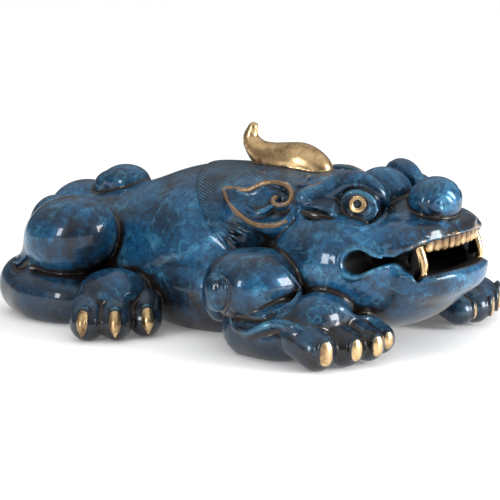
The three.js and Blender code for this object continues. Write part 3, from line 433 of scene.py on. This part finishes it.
for side in SIDES:
    shoulder = egg(spot(16.2, side * 21.8, 12.3), (9.2, 9, 6.5), heading=side * 24, squareness=2.4)
    clay.add(shoulder, 0.6)
    clay.add(egg(spot(8.2, side * 21.5, 10.2), (3.2, 4.5, 6)), 0.4)  # behind the shoulder
    # A dab of wax in the gap between shoulder, neck and trunk.
    clay.add(egg(spot(13.3, side * 12.6, 14.1), (1, 1, 1)), 0.3)
    before_edge = [(x + 0.6, y - 0.5, z + 0.6) for x, y, z in SHOULDER_EDGE[:4]]
    clay.cut(roll(along(before_edge, side), [0.4] * len(before_edge)), 0.5)
    clay.add(egg(spot(12.6, side * 28.8, 11.6), (2.8, 2.5, 3.7)), 0.4)  # elbow
    clay.cut(roll(along(ELBOW_RIM, side), (0.2, 0.4, 0.5, 0.5, 0.4, 0.2)), 0.4)
    forearm = along([(17, 24.3, 4.8), (23.7, 25.8, 5.2), (30.1, 24.6, 6)], side)
    clay.add(roll(forearm, (5.5, 5.5, 5.1)), 1.3)
    clay.add(egg(spot(30.6, side * 22.6, 8.2), (5.6, 7, 4.4)), 1.4)  # back of the paw
    clay.cut(roll(along(ARM_GROOVE, side), (0.2, 0.4, 0.5, 0.5, 0.5, 0.3)), 0.5)
    clay.add(roll(along(ARM_FOLD, side), (0.3, 0.5, 0.6, 0.7, 0.8, 0.9, 0.9, 0.5)), 0.5)
    below_fold = [(x, y + 0.6, z - 1.7) for x, y, z in ARM_FOLD[2:7]]
    clay.cut(roll(along(below_fold, side), [0.6] * len(below_fold)), 1.2)
    clay.add(roll(along(SHOULDER_EDGE, side), (0.25, 0.35, 0.4, 0.45, 0.45, 0.4, 0.3, 0.2)), 0.3)
    clay.add(roll(along(HAND_EDGE, side), (0.3, 0.5, 0.6, 0.6, 0.5, 0.4, 0.3)), 0.6)
    for toe, (heading, distance, splay, share) in enumerate(FORE_TOES):
        radius = 3.7 - 0.28 * toe
        nail_half = share * NAIL_HALF
        tip = reach(spot(25, side * 21.8, 3.6), side * heading, 0, distance)
        clay.add(roll([tip + spot(-3.8, 0, 1.7), tip], (0.95 * radius, radius)), 1)
        splay *= side
        cuticle = (0.38 * nail_half, 0.78 * nail_half, 1.18 * nail_half)
        clay.add(egg(reach(tip, splay, 6, 0.97 * radius), cuticle, heading=splay), 0.3)
        oval = (0.42 * nail_half, 0.58 * nail_half, nail_half)
        nail = egg(reach(tip, splay, 4, 0.98 * radius), oval, heading=splay, squareness=2.3)
        clay.add(nail)
        bare_masses.append(nail)


# Hind legs: the round haunch, the long foot under it with a curl at the heel, the instep, and
# three toes, each with a talon of bare brass that bends down to the ground.
TALON_LENGTH = 13 * MM
# Each toe's heading and reach from the instep, then its talon's heading.
HIND_TOES = [(63, 11.8, 70), (38, 12.2, 52), (9, 12.6, 42)]
HEEL_CURL = [(-34.9, 25.7, 12), (-36.3, 25.2, 10.7), (-37.4, 25.2, 9.7), (-38.8, 25, 9.4),
    (-39.9, 24.2, 10), (-39.5, 23.8, 10.8)]
for side in SIDES:
    clay.add(egg(spot(-30.6, side * 21, 4.5), (10.4, 7.9, 5.5), squareness=2.4), 1.6)  # foot
    clay.add(egg(spot(-39.7, side * 19.6, 5.5), (6, 5.9, 6)), 4)  # heel
    clay.add(egg(spot(-28.5, side * 20.4, 16.3), (9.8, 8.3, 7.7), pitch=-17), 0.9)  # haunch
    clay.add(roll(along([(-35.4, 22.6, 12.4), (-38.4, 22, 8.4)], side), (2.6, 3)), 2.6)
    clay.cut(roll(along(HEEL_CURL, side), (0.4, 0.8, 0.9, 0.8, 0.6, 0.4)), 0.4)
    clay.add(egg(spot(-15.4, side * 24, 7), (6.6, 7.4, 4.8)), 1.8)  # instep
    for toe, (heading, distance, facing) in enumerate(HIND_TOES):
        radius = 3.3 - 0.08 * toe
        tip = reach(spot(-19.5, side * 23, 3.2), side * heading, 0, distance)
        clay.add(roll([tip + spot(-2.2, -3.2 * side, 2.2), tip], (0.95 * radius, radius)), 0.7)
        facing *= side
        base = reach(tip, facing, 42, 0.9 * radius)
        outward = reach(spot(0, 0, 0), facing, 0, TALON_LENGTH)
        down = spot(0, 0, TALON_LENGTH)
        path = [base, base + 0.22 * outward - 0.4 * down, base + 0.24 * outward - 0.88 * down]
        clay.add(egg(reach(tip, facing, 60, 0.8 * radius), (1.3, 1.3, 1.3)), 0.3)
        talon = roll(path, [share * TALON_LENGTH for share in (0.2, 0.22, 0.06)])
        clay.add(talon)
        bare_masses.append(talon)


# Mouth: a round hole at each corner with a raised lip round it, a narrow slit, then the open jaws,
# hollowed out behind the lips, with a web of lip behind each fang and a notch in the lower lip for
# its point. The rows hold the gape's place along the head, its height and half its opening.
GAPE = [(35.9, 18, 2.1), (37.4, 17.9, 1.3), (39.5, 18.1, 0.6), (41.5, 18, 0.9), (43, 17.8, 1.7),
    (44.6, 17.8, 2.3), (46.5, 18.5, 2.8), (49, 18.7, 2.8), (56, 18.7, 2.8)]
CORNER_LIP = [(39.6, 16.2, 18.9), (38.4, 17, 19.3), (37.3, 17.3, 19.9), (36.1, 17.8, 20.5),
    (34.9, 18.7, 20.6), (33.8, 19.5, 20.1), (33.2, 20.1, 19), (33.2, 20.4, 17.7), (33.8, 20.4, 16.5),
    (34.9, 20.1, 15.6), (36.1, 19.4, 15.4), (37.3, 18.6, 16), (38.3, 17.3, 16.8), (40, 15, 17.2)]
LOWER_LIP = [(42.3, 13.2, 15.4), (44.3, 11.4, 14.7), (45.9, 9.8, 14.6), (46.8, 8, 14.7),
    (47.7, 4.8, 14.9), (48.1, 0, 15)]
UPPER_LIP = [(43.4, 12.2, 20.4), (44.3, 10.7, 21), (45, 8.6, 21.4), (46, 5.9, 21.6), (46.5, 3, 21.7),
    (46.7, 0, 21.8)]


def opening(rows, y, wide):
    """A roll along the gape, to be cut out, drawn out sideways by the width given."""
    return roll([spot(x, y, z) for x, z, half in rows], [half for x, z, half in rows], wide=wide)


mouth_masses = [opening(GAPE, side * 18.6, 7.1) for side in SIDES]
mouth_masses.append(opening(GAPE[4:], 0, 13))
upper_lips = [roll(along(UPPER_LIP, side), (0.5, 0.6, 0.5, 0.45, 0.45, 0.45)) for side in SIDES]
for side in SIDES:
    clay.add(roll(along(CORNER_LIP, side), (0.3, 0.4, *[0.5] * 10, 0.4, 0.3)), 0.4)
    clay.add(roll(along(LOWER_LIP, side), (0.3, 0.7, 0.8, 0.8, 0.8, 0.8)), 0.6)
    clay.add(egg(spot(43.5, side * 9.9, 20.8), (1.7, 1.9, 1.5)), 0.8)
for lip in upper_lips:
    clay.add(lip, 0.4)
unopened = np.concatenate([clay.field[:, :0:-1], clay.field], axis=1)
for mass, blend in zip(mouth_masses, (0.6, 0.6, 1.8)):
    clay.cut(mass, blend)
clay.cut(egg(spot(33, 0, 17.6), (12.6, 10.6, 4.4), squareness=3), 0.6)
# Webs of lip behind the fangs, painted black all over as shade.
webs = []
for side in SIDES:
    web = egg(spot(43, side * 10.4, 17.4), (0.9, 0.55, 3.4))
    clay.add(web, 0.3)
    webs.append(web)
    clay.cut(roll([spot(43, side * 9.8, 15.3), spot(45, side * 12.2, 15)], (0.8, 0.8)), 0.3)


# Teeth: a row of short blocks in the upper lip, between two long curved fangs, all bare brass. The
# rows hold how far forward and up a fang has come, and its radius, as shares of its size.
TEETH = 9
TOOTH_PITCH = 5.9 * MM
TOOTH_HEIGHT = 9 * MM
TOOTH_ARCH = 0.017
TOOTH_TURN = 2.2
FANG_LENGTH = 23.5 * MM
FANG_THICKNESS = 4.5 * MM
FANG = [(0, 0, 1), (0.14, -0.25, 1.05), (0.22, -0.6, 0.9), (0.06, -1.04, 0.35)]
tooth_masses = []
for tooth in range(TEETH):
    across = (tooth - (TEETH - 1) / 2) * TOOTH_PITCH
    middle = spot(45.2 - TOOTH_ARCH * across**2, across, 20.5)
    radii = (1, 0.49 * TOOTH_PITCH, 0.5 * TOOTH_HEIGHT)
    block = egg(middle, radii, heading=TOOTH_TURN * across, squareness=3.2)
    clay.add(block)
    tooth_masses.append(block)
for side in SIDES:
    root = spot(43, side * 9.9, 21)
    fang = roll([root + FANG_LENGTH * spot(out, 0, up) for out, up, share in FANG],
        [share * FANG_THICKNESS / 2 for out, up, share in FANG])
    clay.add(fang)
    bare_masses.append(fang)


# The skin of the casting: one closed surface drawn on the block, mirrored, thinned where it is
# calm, and ground flat underneath so that the figure stands on its belly and feet.
SKIN_TRIANGLES = 190000
ground = ((spot(-60, 0, -5), spot(60, 50, 50)), lambda x, y, z: z)
clay.cut(ground)
field = np.concatenate([clay.field[:, :0:-1], clay.field], axis=1)
low = spot(clay.axes[0][0], -clay.axes[1][-1], clay.axes[2][0])


def draw_skin(field, low):
    """A point in each cell that the skin passes through, and a square across each grid edge."""
    inside = field < 0
    shape = np.array(field.shape) - 1
    corners = [(i, j, k) for i in (0, 1) for j in (0, 1) for k in (0, 1)]
    count = np.zeros(shape, np.int8)
    for i, j, k in corners:
        count += inside[i:i + shape[0], j:j + shape[1], k:k + shape[2]]
    cells = np.argwhere((count > 0) & (count < 8))
    number = np.full(shape, -1)
    number[tuple(cells.T)] = np.arange(len(cells))
    values = {corner: field[tuple((cells + corner).T)].astype(float) for corner in corners}
    places = np.zeros((len(cells), 3))
    crossings = np.zeros(len(cells))
    for corner in corners:
        for axis in range(3):
            if corner[axis] == 0:
                other = tuple(c + (n == axis) for n, c in enumerate(corner))
                a, b = values[corner], values[other]
                crossed = (a < 0) != (b < 0)
                point = np.tile(np.array(corner, float), (len(cells), 1))
                point[:, axis] = np.divide(a, a - b, out=np.zeros_like(a), where=crossed)
                places += point * crossed[:, None]
                crossings += crossed
    squares = []
    for axis in range(3):
        u, v = [np.eye(3, dtype=int)[n] for n in ((axis + 1) % 3, (axis + 2) % 3)]
        start = [slice(1, n) for n in shape]
        start[axis] = slice(0, shape[axis])
        ahead = list(start)
        ahead[axis] = slice(1, shape[axis] + 1)
        solid = inside[tuple(start)]
        edges = np.argwhere(solid != inside[tuple(ahead)])
        outward = solid[tuple(edges.T)]
        edges += 1 - np.eye(3, dtype=int)[axis]
        ring = np.column_stack([number[tuple((edges - step).T)] for step in (u + v, v, 0 * u, u)])
        squares.append(np.where(outward[:, None], ring, ring[:, ::-1]))
    return low + GRID * (cells + places / crossings[:, None]), np.vstack(squares)


places, squares = draw_skin(field, low)
middle = (places[:, 0].min() + places[:, 0].max()) / 2
to_frame = Vector(((cad_box[0].x + cad_box[1].x) / 2 - middle * HUNDREDTH, 0, 0))


# Bare brass: the casting's own metal on the horn, claws, fangs and eye rings, polished, then
# tarnished a little in patches.
class Value:
    """A socket in a material's nodes. A sum of values and numbers adds its Math nodes."""

    def __init__(self, tree, socket=None):
        self.tree = tree
        self.socket = socket

    def node(self, kind, settings, sockets, output=0):
        made = self.tree.nodes.new("ShaderNode" + kind)
        for name, setting in settings.items():
            setattr(made, name, setting)
        for name, given in sockets.items():
            if isinstance(given, Value):
                self.tree.links.new(given.socket, made.inputs[name])
            else:
                made.inputs[name].default_value = given
        return Value(self.tree, made.outputs[output])

    def math(self, operation, a, b=0.0):
        return self.node("Math", {"operation": operation}, {0: a, 1: b})

    def __add__(self, other):
        return self.math("ADD", self, other)

    def __sub__(self, other):
        return self.math("SUBTRACT", self, other)

    def __rsub__(self, other):
        return self.math("SUBTRACT", other, self)

    def __mul__(self, other):
        return self.math("MULTIPLY", self, other)

    __radd__ = __add__
    __rmul__ = __mul__

    def ramp(self, low, high):
        limits = {"Value": self, "From Min": low, "From Max": high}
        return self.node("MapRange", {"interpolation_type": "SMOOTHSTEP"}, limits)

    def clouds(self, size_mm, detail=5.0, roughness=0.55, distortion=0.0):
        """Noise with clouds of about this size, on the object's own coordinates."""
        place = self.node("TexCoord", {}, {}, "Object")
        sockets = {"Vector": place, "Scale": 1000 / size_mm, "Detail": detail, "Roughness": roughness,
            "Distortion": distortion}
        return self.node("TexNoise", {}, sockets, "Fac")

    def attribute(self, name):
        return self.node("Attribute", {"attribute_name": name}, {}, "Fac")

    def colour(self, share, a, b):
        return self.node("Mix", {"data_type": "RGBA"}, {0: share, 6: a, 7: b}, 2)


def rgb(red, green, blue):
    return (red, green, blue, 1.0)


BRASS = rgb(0.78, 0.54, 0.280)
BRASS_TARNISH_AND_SHADE = rgb(0.120, 0.062, 0.028)


def brass_colours(value):
    """The colour of the brass and its roughness."""
    tarnish = value.clouds(17, 5, 0.6).ramp(0.44, 0.64) * 0.55
    tarnish = tarnish + value.clouds(5, 8, 0.7).ramp(0.46, 0.66) * 0.4
    return value.colour(tarnish, BRASS, BRASS_TARNISH_AND_SHADE), 0.27 + tarnish * 0.3


# The patina: chemical blues laid on in blotches and fine veins over a dark base, browner round the lip
# and towards the ground, brown in creases as patina and as painted shade, rubbed to ochre on the
# sharpest edges, and all under one gloss lacquer. Painted shade also darkens broad hollows, the
# mouth, the mane's grooves, lines round the eye rings and the tops of the teeth, and painted
# highlights pale the ridges and the mane's strands. Borders round eye and mouth are in millimetres,
# heights in metres.
GROUND_BLUE = rgb(0.003, 0.015, 0.034)
DEEP_BLUE = rgb(0.010, 0.100, 0.226)
LIGHT_BLUE = rgb(0.100, 0.375, 0.560)
BROWN = rgb(0.014, 0.010, 0.009)
SHADE_BLACK = rgb(0.006, 0.005, 0.005)
OCHRE = rgb(0.40, 0.225, 0.090)
STRAND_PITCH = 0.60
PUPIL_EDGE = (1.2, 1.5)
RING_INSIDE = (2.3, 2.6)
RING_OUTSIDE = (4.6, 4.9)
SOCKET_INSIDE = (4.7, 4.9)
SOCKET_OUTSIDE = (5.3, 6.4)
MOUTH_DARK = (0.8, 3)
GROUND_DARK = (0.004, 0.046)
TOOTH_SHADE_HEIGHTS = (0.0585, 0.0625)
VEIN_SHARPNESS = 24
GLOSS = 0.36
METAL_UNDER_PATINA = 0.30
LACQUER = 0.62
LACQUER_ROUGHNESS = 0.05
SHEEN = 0.25
STRAND_DEPTH = 0.0006
RING_HEIGHT = 0.0006
GRAIN_DEPTH = 0.00003


def patina_colour(value):
    """The blues alone: broad blotches, dark grain, pale veins, and pale clouds and specks."""
    blotches = value.clouds(34, 12, 0.72, 0.4)
    base = value.colour(blotches.ramp(0.39, 0.60), GROUND_BLUE, DEEP_BLUE)
    grain = value.clouds(3.2, 6, 0.78, 0.5)
    base = value.colour((1 - grain.ramp(0.32, 0.58)) * 0.78, base, GROUND_BLUE)
    across_vein = (value.clouds(15, 7, 0.64, 0.4) - 0.5) * VEIN_SHARPNESS
    veins = (1 - value.math("ABSOLUTE", across_vein)).ramp(0, 1)
    light = veins * value.clouds(13, 4).ramp(0.44, 0.62) * 0.3
    light = light + value.clouds(12, 9, 0.76).ramp(0.50, 0.74) * blotches.ramp(0.40, 0.62) * 0.8
    light = light + grain.ramp(0.56, 0.78) * value.clouds(20, 8, 0.7).ramp(0.40, 0.62) * 0.35
    return value.colour(light, base, LIGHT_BLUE)


def new_finish(name):
    material = bpy.data.materials.new(name)
    material.use_nodes = True
    shader = material.node_tree.nodes["Principled BSDF"]
    return material, Value(material.node_tree), shader


def connect(value, shader, name):
    value.tree.links.new(value.socket, shader.inputs[name])


blue, value, shader = new_finish("blue_bronze")
crease = value.attribute("crease")
height = value.node("SeparateXYZ", {}, {0: value.node("TexCoord", {}, {}, "Object")}, "Z")
patches = value.clouds(42, 8, 0.66, 0.6)

# Brown in broad patches, near the ground and round the lip, and in creases both as patina and as
# painted shade. Painted shade also browns the broad hollows, where shade falls.
brown = patches.ramp(0.54, 0.70) * 0.75 + crease.ramp(0.04, 0.24)
# Painted shade: brown laid over the broad hollows.
brown = brown + value.attribute("shade_hollow").ramp(0.1, 0.8) * 0.7
brown = brown + (1 - height.ramp(*GROUND_DARK)) * 0.85
brown = brown + (1 - value.attribute("lip").ramp(1, 22)) * value.clouds(9, 8, 0.7).ramp(0.30, 0.56) * 0.95
surface = value.colour(brown.ramp(0, 1.2), patina_colour(value), BROWN)

# Paler on the ridges, partly as rubbed patina and partly as painted highlight, and in the mane
# painted shade in the grooves with painted highlights on the strands between them.
ridge_wear_and_highlight = (0 - crease).ramp(0.12, 0.42) * value.clouds(6, 6, 0.7).ramp(0.36, 0.56)
surface = value.colour(ridge_wear_and_highlight * 0.35, surface, LIGHT_BLUE)
strand = value.math("SINE", value.attribute("strand") * (2 * math.pi / STRAND_PITCH)) * 0.5 + 0.5
hair = value.attribute("hair")
# Painted shade in the mane's grooves, which are only bumped.
surface = value.colour((1 - strand).ramp(0.1, 0.9) * hair * 0.9, surface, GROUND_BLUE)
# Painted highlights along the crests of the strands.
strand_highlight = strand.ramp(0.7, 1) * hair * value.clouds(8, 6, 0.7).ramp(0.40, 0.60) * 0.5
surface = value.colour(strand_highlight, surface, LIGHT_BLUE)

# Painted shade: black deep inside the mouth and on the webs. Ochre where the rims of ears and lip
# are rubbed.
mouth = value.attribute("mouth").ramp(*MOUTH_DARK)
surface = value.colour(mouth, surface, SHADE_BLACK)
wear = value.clouds(7, 6, 0.7)
worn = (1 - value.attribute("edge").ramp(-0.2, 0.25)) * wear.ramp(0.30, 0.48)
worn = worn + (1 - value.attribute("lip").ramp(0.1, 0.5)) * wear.ramp(0.50, 0.60)
surface = value.colour(worn, surface, OCHRE)

# The eye's polished ring, with painted shade in a dark line inside it and another round it, and a
# brown band round the foot of each bare part.
eye = value.attribute("eye")
ring = eye.ramp(*RING_INSIDE) * (1 - eye.ramp(*RING_OUTSIDE))
# Painted shade where the ring meets the ball.
ring_edge_shade = eye.ramp(*PUPIL_EDGE) * (1 - eye.ramp(*RING_INSIDE))
ring_edge_shade = ring_edge_shade + eye.ramp(*SOCKET_INSIDE) * (1 - eye.ramp(*SOCKET_OUTSIDE))
surface = value.colour(ring_edge_shade, surface, SHADE_BLACK)
socket = value.attribute("bare").ramp(0.2, 0.5) * (1 - value.attribute("bare").ramp(0.7, 1.8))
surface = value.colour(socket * 0.8, surface, BROWN)

# Bare brass on horn, claws and fangs. The short teeth are bare brass low on the front, and dark
# brass as painted shade towards their tops under the lip and in the creases between them.
tooth = 1 - value.attribute("tooth").ramp(0.05, 0.3)
brass, brass_roughness = brass_colours(value)
bare = 1 - value.attribute("bare").ramp(0.1, 0.4)
surface = value.colour(tooth, surface, BRASS_TARNISH_AND_SHADE)
# Painted shade: darker towards the tops of the teeth and in the gaps between them.
unshaded_tooth = tooth * (1 - height.ramp(*TOOTH_SHADE_HEIGHTS) * 0.6) * (1 - crease.ramp(-0.15, 0.15))
bare = (bare + ring + unshaded_tooth).ramp(0, 1)
surface = value.colour(bare, surface, brass)
connect(surface, shader, "Base Color")
gloss = GLOSS + (value.clouds(3, 4) - 0.5) * 0.12 + mouth * 0.3
connect(gloss + bare * (brass_roughness - gloss), shader, "Roughness")
metal = (bare * 0.70 + worn * 0.55).ramp(0, 0.70)
connect(METAL_UNDER_PATINA + metal * (1 - METAL_UNDER_PATINA), shader, "Metallic")
connect((1 - bare * 0.85) * (1 - mouth) * LACQUER, shader, "Coat Weight")
shader.inputs["Coat Roughness"].default_value = LACQUER_ROUGHNESS
shader.inputs["Specular IOR Level"].default_value = SHEEN
relief = strand * hair * (1 - bare) * STRAND_DEPTH
relief = relief + value.clouds(2.4, 3) * GRAIN_DEPTH + ring * RING_HEIGHT
connect(value.node("Bump", {}, {"Height": relief, "Distance": 1.0}), shader, "Normal")


def piece(name, places, faces, material):
    """A smooth mesh from places in hundredths, riding on the figure's one body."""
    mesh = bpy.data.meshes.new(name)
    in_frame = places * HUNDREDTH + np.array(to_frame)
    mesh.from_pydata(in_frame.tolist(), [], faces.tolist())
    mesh.polygons.foreach_set("use_smooth", [True] * len(mesh.polygons))
    mesh.materials.append(material)
    made = bpy.data.objects.new(name, mesh)
    scene.collection.objects.link(made)
    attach(made, "root")
    return made


skin = piece("pixiu_casting", places, squares, blue)
thin = skin.modifiers.new("thin", "DECIMATE")
thin.ratio = SKIN_TRIANGLES / (2 * len(squares))
thinned = bpy.data.meshes.new_from_object(skin.evaluated_get(bpy.context.evaluated_depsgraph_get()))
skin.modifiers.clear()
skin.data = thinned
skin.data.polygons.foreach_set("use_smooth", [True] * len(skin.data.polygons))
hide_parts("pixiu_figure")

# Where the finish, its painted shade and its painted highlights change: hollows, hair, the mouth,
# worn edges and lip, the polished parts, teeth and eye rings, each kept as a number on every point
# of the skin.
CREASE_DEPTH = 1
CREASE_CELLS = 4
SHADE_HOLLOW_DEPTH = 2.5
SHADE_HOLLOW_CELLS = 10
WEB_SKIN = 0.8
EYE_SKIN = 1.2 * MM
OFF_EYE = 50
points = np.empty(3 * len(skin.data.vertices))
skin.data.vertices.foreach_get("co", points)
points = (points.reshape(-1, 3) - np.array(to_frame)) / HUNDREDTH


def blurred(grid, width):
    """The grid's mean over a cube that reaches this many cells each way."""
    for axis in range(3):
        pads = [(width + 1, width) if n == axis else (0, 0) for n in range(3)]
        total = np.cumsum(np.pad(grid, pads, "edge"), axis)
        ahead = [slice(None)] * 3
        behind = [slice(None)] * 3
        ahead[axis] = slice(2 * width + 1, None)
        behind[axis] = slice(0, -2 * width - 1)
        grid = (total[tuple(ahead)] - total[tuple(behind)]) / (2 * width + 1)
    return grid


def sampled(grid, points):
    """The grid's value at each point, from the eight corners of its cell."""
    cell = (points - low) / GRID
    first = np.clip(cell.astype(int), 0, np.array(grid.shape) - 2)
    share = cell - first
    found = 0
    for corner in [(i, j, k) for i in (0, 1) for j in (0, 1) for k in (0, 1)]:
        weight = np.prod(np.where(np.array(corner) == 1, share, 1 - share), axis=1)
        found = found + weight * grid[tuple((first + corner).T)]
    return found


def hollow(depth, cells):
    """How far each point lies in a hollow, less than zero on a ridge."""
    return -sampled(blurred(np.clip(field, -depth, depth), cells), points)


def nearest(masses):
    """How far each point is from the nearest of some masses, in millimetres."""
    return np.min([distance(*points.T) for box, distance in masses], axis=0) / MM


def strand_number(x, y, z):
    """The same all along one strand, and more by STRAND_PITCH on the next."""
    return 1.342 * np.abs(y) - 0.0688 * y**2 - 0.357 * x - 1.979 * z


def mark(name, amounts):
    layer = skin.data.attributes.new(name, "FLOAT", "POINT")
    layer.data.foreach_set("value", np.asarray(amounts, np.float32))


x, y, z = points.T
# Creases are browned as patina and as painted shade, and ridges paled; the broad hollows are for painted
# shade.
mark("crease", hollow(CREASE_DEPTH, CREASE_CELLS))
mark("shade_hollow", hollow(SHADE_HOLLOW_DEPTH, SHADE_HOLLOW_CELLS))
mark("strand", strand_number(x, y, z))
ears = [
    egg(spot(10.9, side * 12.4, 25.1), (10.5, 3.2, 5.6), pitch=EAR_PITCH, lean=side * EAR_LEAN)
    for side in SIDES
]
mane = ramp(mane_edge(x, y, z), 0.1, 0.7) * (1 - ramp(x, 15, 20)) * ramp(z, 20, 23.5)
mark("hair", mane * ramp(nearest(ears), 0, 1.8))
# Painted shade: how deep each point lies inside the mouth, with the webs all in shade.
mark("mouth", np.where(nearest(webs) < WEB_SKIN, MOUTH_DARK[1], -sampled(unopened, points) / MM))
mark("edge", nearest(ear_rims))
mark("lip", nearest(upper_lips))
mark("bare", nearest(bare_masses))
mark("tooth", nearest(tooth_masses))
rings = []
for side in SIDES:
    from_eye = points - eye_centres[side]
    facing = reach(spot(0, 0, 0), side * RING_HEADING, RING_CLIMB, 1)
    depth = from_eye @ facing
    spread = np.linalg.norm(from_eye - depth[:, None] * facing, axis=1) / MM
    off_ball = np.linalg.norm(from_eye, axis=1) > EYE_RADIUS + EYE_SKIN
    rings.append(np.where(off_ball | (depth < 0), OFF_EYE, spread))
mark("eye", np.min(rings, axis=0))


# The floor and the light: a pale sweep of paper under a white studio, lit by two softboxes. What
# the casting mirrors of the studio is dimmer low down and dimmer than what lights it.
FLOOR_HALF = 4
SKY_LOW = 0.16
SKY_RISE = 1.15
SKY_MIRRORED = 0.6
floor = bpy.data.meshes.new("floor")
floor_corners = [(x * FLOOR_HALF, y * FLOOR_HALF, 0) for x, y in [(-1, -1), (1, -1), (1, 1), (-1, 1)]]
floor.from_pydata(floor_corners, [], [(0, 1, 2, 3)])
paper, value, shader = new_finish("white_paper")
shader.inputs["Base Color"].default_value = rgb(0.96, 0.96, 0.96)
shader.inputs["Roughness"].default_value = 0.7
shader.inputs["Emission Color"].default_value = rgb(1, 1, 1)
shader.inputs["Emission Strength"].default_value = 0.12
floor.materials.append(paper)
sweep = bpy.data.objects.new("floor", floor)
scene.collection.objects.link(sweep)

world = bpy.data.worlds.new("studio")
world.use_nodes = True
sky = Value(world.node_tree)
rise = sky.node("SeparateXYZ", {}, {0: sky.node("TexCoord", {}, {}, "Generated")}, "Z")
background = world.node_tree.nodes["Background"]
background.inputs["Color"].default_value = rgb(1, 1, 1)
seen = sky.node("LightPath", {}, {}, "Is Camera Ray")
mirrored = sky.node("LightPath", {}, {}, "Is Glossy Ray")
lit = (SKY_LOW + rise.ramp(0.05, 1) * SKY_RISE) * (1 - mirrored * (1 - SKY_MIRRORED))
connect(seen + (1 - seen) * lit, background, "Strength")
scene.world = world
scene.view_settings.view_transform = "Standard"


def softbox(name, azimuth, climb, distance, wide, tall, power):
    """A soft lamp that faces the figure. Its power is in watts and its size in metres."""
    lamp = bpy.data.lights.new(name, "AREA")
    lamp.shape = "RECTANGLE"
    lamp.size = wide
    lamp.size_y = tall
    lamp.energy = power
    aim(bpy.data.objects.new(name, lamp), azimuth, climb, distance)


softbox("right_softbox", 104, 14, 1.4, wide=0.58, tall=0.62, power=23)
softbox("left_softbox", -8, 16, 1.5, wide=0.24, tall=0.5, power=6.5)
